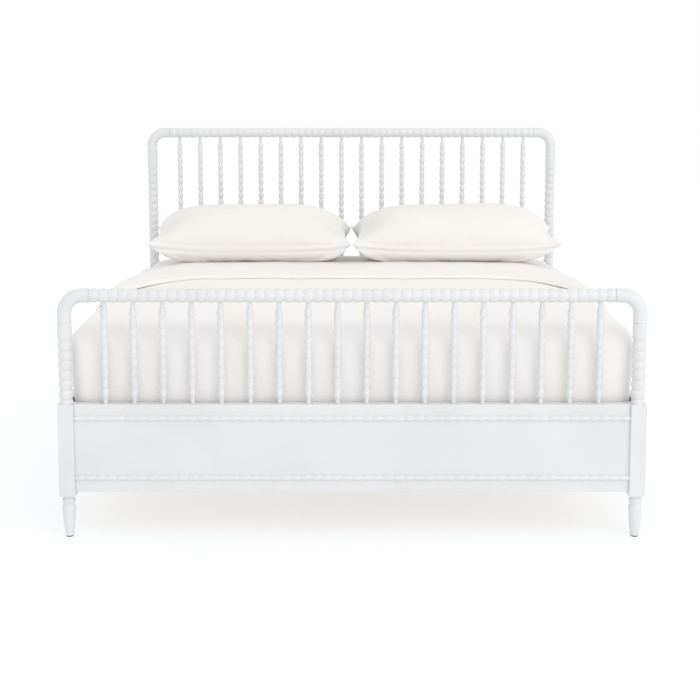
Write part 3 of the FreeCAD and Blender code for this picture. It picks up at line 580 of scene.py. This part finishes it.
def turn_down(sheet, top_row):
    """The fold at the head end, and the part that lies back over the sheet as far as its hem."""
    arch = [ring[0] for ring in sheet.rings[:-1]] + list(top_row) + [r[-1] for r in sheet.rings[-2::-1]]
    line = np.array([[sheet.points[p][0], sheet.points[p][2]] for p in arch])
    run = np.append(0, np.cumsum(np.linalg.norm(np.diff(line, axis=0), axis=1)))
    run -= run[-1] / 2
    tangent = np.gradient(line, axis=0)
    tangent /= np.linalg.norm(tangent, axis=1)[:, None]
    outward = np.stack([-tangent[:, 1], tangent[:, 0]], 1)
    laid = [i for i in range(len(arch)) if line[i][1] > sheet_top - FLAP_DROP]
    before = [arch[i] for i in laid]
    turns = np.linspace(-math.pi / 2, math.pi / 2, FOLD_POINTS)[1:]
    rows = [(FOLD_R * (1 + math.sin(t)), FOLD_R * 1.5 * math.cos(t), 0.0) for t in turns]
    shares = 1 - np.linspace(1, 0, FLAP_ROWS)[1:] ** FLAP_CLOSING
    rows += [(FOLD_R * (2 - 0.6 * share), 0.0, share) for share in shares]
    for lift, bulge, share in rows:
        points, cloth = [], []
        for i in laid:
            out = abs(run[i])
            length = fold_y - HEM_Y + hem_sweep(out)
            to_hem = (1 - share) * length
            y = fold_y + bulge - share * length
            crease = sheet_creases(Vector((line[i][0], y, line[i][1])))
            x, z = line[i] + outward[i] * (lift + flap_lift(out, share, to_hem) + crease)
            points.append((x, y, z))
            cloth.append((run[i], fold_y + share * length, to_hem))
        made = sheet.add(points, cloth)
        for a in range(len(made) - 1):
            sheet.faces.append((before[a], before[a + 1], made[a + 1], made[a]))
        before = made


flat_count = len(sheet.points)
turn_down(sheet, [int(p) for p in top_rows[-1]])
sheet_cotton = ivory_cotton("ivory_top_sheet", IVORY_PALE, IVORY_DEEP, HEM_WIDTH)
top_sheet = sheet.piece("turned_down_sheet", sheet_cotton)
ruffle(top_sheet, sheet_creases, flat_count)
thick = top_sheet.modifiers.new("cloth", "SOLIDIFY")
thick.thickness = SHEET_T
thick.offset = 0
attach(top_sheet, "mattress")
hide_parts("top_sheet")


# Pillows
# Two king pillows in plain cases of the same cotton: two panels sewn round three edges and hemmed at the
# fourth. The filling swells them out, the corners stay pointed and the long seams sag between them.
CASE_PALE = (0.82, 0.796, 0.77, 1)
CASE_DEEP = (0.775, 0.747, 0.716, 1)
CASE_HEM = 0.1
CASE_ACROSS = 108  # faces
CASE_ALONG = 60
OUTER_TIPS = {"left": -0.928, "right": 0.952}
PILLOW_LIFT = 0.0003
PILLOW_CROWN = 0.238
SEAM_FRONT = 0.108  # corners above the mattress
SEAM_BACK = 0.138
SEAM_SAG = 0.036
SEAM_EDGE = 0.013  # from the seam to the crease beside it
SEAM_CREASE = 0.0065
END_DRAW_IN = 0.022
LONG_DRAW_IN = 0.012
LUMPINESS = 0.05
WRINKLE = 0.0075
SETTLE = 0.005
SWELL_CAP = 0.008
SWELL_FRAMES = 14
SWELL_CLOTH = {"quality": 5, "mass": 0.2, "tension_stiffness": 15, "compression_stiffness": 15,
               "shear_stiffness": 8, "bending_stiffness": 0.6, "shrink_min": -0.025,
               "use_pressure": True, "uniform_pressure_force": 2.0}
pillow_cotton = ivory_cotton("ivory_pillowcase", CASE_PALE, CASE_DEEP, CASE_HEM)


def wrinkle(u, v, panel, seed):
    """Folds that the cloth is drawn into at the short ends, and puckers along the long seams."""
    ends = soft_step(abs(u), 0.35, 0.85) * (1 - u**8)
    edges = 0.6 * soft_step(abs(v), 0.5, 0.9) * (1 - v**8)
    folds = ends * soft_noise((u, v, panel), 4.0, (0.5, 1.5, 1), seed + 20)
    return folds + edges * soft_noise((u, v, panel), 6.0, (1, 0.3, 1), seed + 40)


def upper_swell(u, v):
    """How full the upper panel is. Its ends are fuller at the back, where it leans on the bed's head."""
    pinch = 2 - 1.2 * soft_step(v, -0.3, 0.6)
    return (1 - abs(u) ** 5) ** pinch * (1 - abs(v) ** 2.3) ** 0.6


def lower_fall(u, v):
    """How far the lower panel has come down: steeply by the seam, then flatter on the mattress."""
    ends = 1 - u ** (6 if u < 0 else 10)
    return ends * (0.62 * (1 - v**16) ** 0.5 + 0.38 * (1 - v**2))


def seam_tuck(u, v, reach):
    """How deep the cloth is creased beside a long seam, which leaves a pressed edge at the seam."""
    crease = math.exp(-(((reach - SEAM_EDGE) / (0.5 * SEAM_EDGE)) ** 2))
    slack = 0.4 + 0.6 * soft_step(abs(u + 0.15), 0.2, 0.7)
    return SEAM_CREASE * slack * crease * soft_step(abs(v), 0.6, 0.9)


def filled_case(width, depth, seed):
    """Two panels that share their seam: points, faces, places on the flat cloth and tucks by the seam."""
    points, faces, flat, tucks, index = [], [], [], [], {}
    for panel in (1, -1):
        for j in range(CASE_ALONG + 1):
            for i in range(CASE_ACROSS + 1):
                if panel < 0 and (i in (0, CASE_ACROSS) or j in (0, CASE_ALONG)):
                    index[panel, i, j] = index[1, i, j]
                    continue
                index[panel, i, j] = len(points)
                u = math.sin(math.pi * (i / CASE_ACROSS - 0.5))
                v = math.sin(math.pi * (j / CASE_ALONG - 0.5))
                x = u * (width / 2 - END_DRAW_IN * (1 - v**2))
                y = v * (depth / 2 - LONG_DRAW_IN * (1 - u**4))
                z = SEAM_FRONT + (SEAM_BACK - SEAM_FRONT) * (v + 1) / 2 - SEAM_SAG * (1 - u**4)
                uneven = 1 + LUMPINESS * soft_noise((u, v, panel), 1.3, seed=seed)
                fold = WRINKLE * wrinkle(u, v, panel, seed)
                if panel > 0:
                    reach = (PILLOW_CROWN - SEAM_FRONT + SEAM_SAG) * upper_swell(u, v) * uneven
                    z += reach + fold
                else:
                    reach = z * lower_fall(u, v) * uneven
                    z -= reach + 0.5 * fold
                tucks.append(seam_tuck(u, v, reach))
                points.append((x, y, z))
                flat.append((x, y, width / 2 - x))
        for j in range(CASE_ALONG):
            for i in range(CASE_ACROSS):
                corners = ((i, j), (i + 1, j), (i + 1, j + 1), (i, j + 1))
                faces.append([index[(panel, *c)] for c in corners[::panel]])
    return points, faces, flat, tucks


def relaxed(points, faces):
    """The case after its cloth has settled under the pressure of the filling, with the move capped."""
    mesh = bpy.data.meshes.new("case")
    mesh.from_pydata(points, [], faces)
    case = bpy.data.objects.new("case", mesh)
    bpy.context.scene.collection.objects.link(case)
    cloth = case.modifiers.new("cloth", "CLOTH")
    for name, value in SWELL_CLOTH.items():
        setattr(cloth.settings, name, value)
    cloth.settings.effector_weights.gravity = 0.0
    cloth.point_cache.frame_end = SWELL_FRAMES
    for number in range(1, SWELL_FRAMES + 1):
        bpy.context.scene.frame_set(number)
    swollen = case.evaluated_get(bpy.context.evaluated_depsgraph_get()).to_mesh()
    move = np.array([v.co for v in swollen.vertices]) - np.array(points)
    bpy.data.objects.remove(case)
    bpy.context.scene.frame_set(1)
    length = np.linalg.norm(move, axis=1)[:, None]
    return np.array(points) + move * np.minimum(1, SWELL_CAP / np.maximum(length, SWELL_CAP))


def pillow(side_name, side, seed):
    """A pillow on the mattress, with its hemmed end towards the middle of the bed."""
    body = "pillow_" + side_name
    low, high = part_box(body)
    inner = low.x if side > 0 else high.x
    tip = OUTER_TIPS[side_name]
    bed = mattress_high.z + PILLOW_LIFT
    points, faces, flat, tucks = filled_case(abs(tip - inner), high.y - low.y, seed)
    form = relaxed(points, faces)
    form[:, 1] -= tucks * np.sign(form[:, 1])
    form[:, 2] = bed + SETTLE * np.logaddexp(0, form[:, 2] / SETTLE)
    form[:, 0] = (tip + inner) / 2 - side * form[:, 0]
    form[:, 1] += (low.y + high.y) / 2
    mesh = bpy.data.meshes.new(body)
    mesh.from_pydata(form.tolist(), [], [face[::-side] for face in faces])
    made = cloth_piece(side_name + "_pillow", mesh, flat, pillow_cotton)
    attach(made, body)
    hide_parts(body)


pillow("left", -1, 2.0)
pillow("right", 1, 9.0)


# Floor and light
# A plain white studio floor that gives some light back, and an even white surround. One large soft box
# stands high beyond the foot on the right, and another low in front of the bed.
FLOOR_SIZE = 60.0
FLOOR_PALE = (0.412, 0.429, 0.45, 1)
FLOOR_DEEP = (0.402, 0.419, 0.44, 1)
FLOOR_GLOW = {"Emission Strength": 0.595, "Emission Color": (1, 1, 1, 1)}
BED_MIDDLE = (0, 0, 0.6)
bpy.ops.mesh.primitive_plane_add(size=FLOOR_SIZE)
floor = bpy.context.object
floor.name = "studio_floor"
floor_finish = Finish("studio_floor", {"Roughness": 0.9, "Specular IOR Level": 0.0, **FLOOR_GLOW})
mottle = floor_finish.noise(floor_finish.place(), 1.5)
floor_finish.feed("Base Color", mottle.tint(FLOOR_DEEP, FLOOR_PALE))
floor.data.materials.append(floor_finish.material)

scene = bpy.context.scene
scene.view_settings.view_transform = "Standard"
world = bpy.data.worlds.new("white_surround")
world.use_nodes = True
surround = world.node_tree.nodes["Background"].inputs
surround["Color"].default_value = (1, 1, 1, 1)
surround["Strength"].default_value = 1.0
scene.world = world


def soft_box(name, place, size, power):
    """A square lamp of so many metres and watts, turned towards the middle of the bed."""
    light = bpy.data.lights.new(name, "AREA")
    light.size = size
    light.energy = power
    lamp = bpy.data.objects.new(name, light)
    lamp.location = place
    lamp.rotation_euler = (Vector(BED_MIDDLE) - Vector(place)).to_track_quat("-Z", "Y").to_euler()
    scene.collection.objects.link(lamp)


soft_box("key_light", (6.5, -8.0, 6.5), 10.0, 345.0)
soft_box("front_light", (0.6, -15.0, 1.4), 11.0, 100.0)


# Camera
# A long lens beyond the foot of the bed, at standing height. It looks a little down, and its frame is
# shifted so that the bed stands in the middle of the picture.
CAMERA_PLACE = (-0.0073, -5.4916, 1.5723)
LENS = 68.68
PITCH = math.radians(7.209)
FRAME_SHIFT = -0.15
view = bpy.data.cameras.new("camera")
view.lens = LENS
view.shift_y = FRAME_SHIFT
camera = bpy.data.objects.new("camera", view)
camera.location = CAMERA_PLACE
camera.rotation_euler = (math.pi / 2 - PITCH, 0, 0)
scene.collection.objects.link(camera)
scene.camera = camera
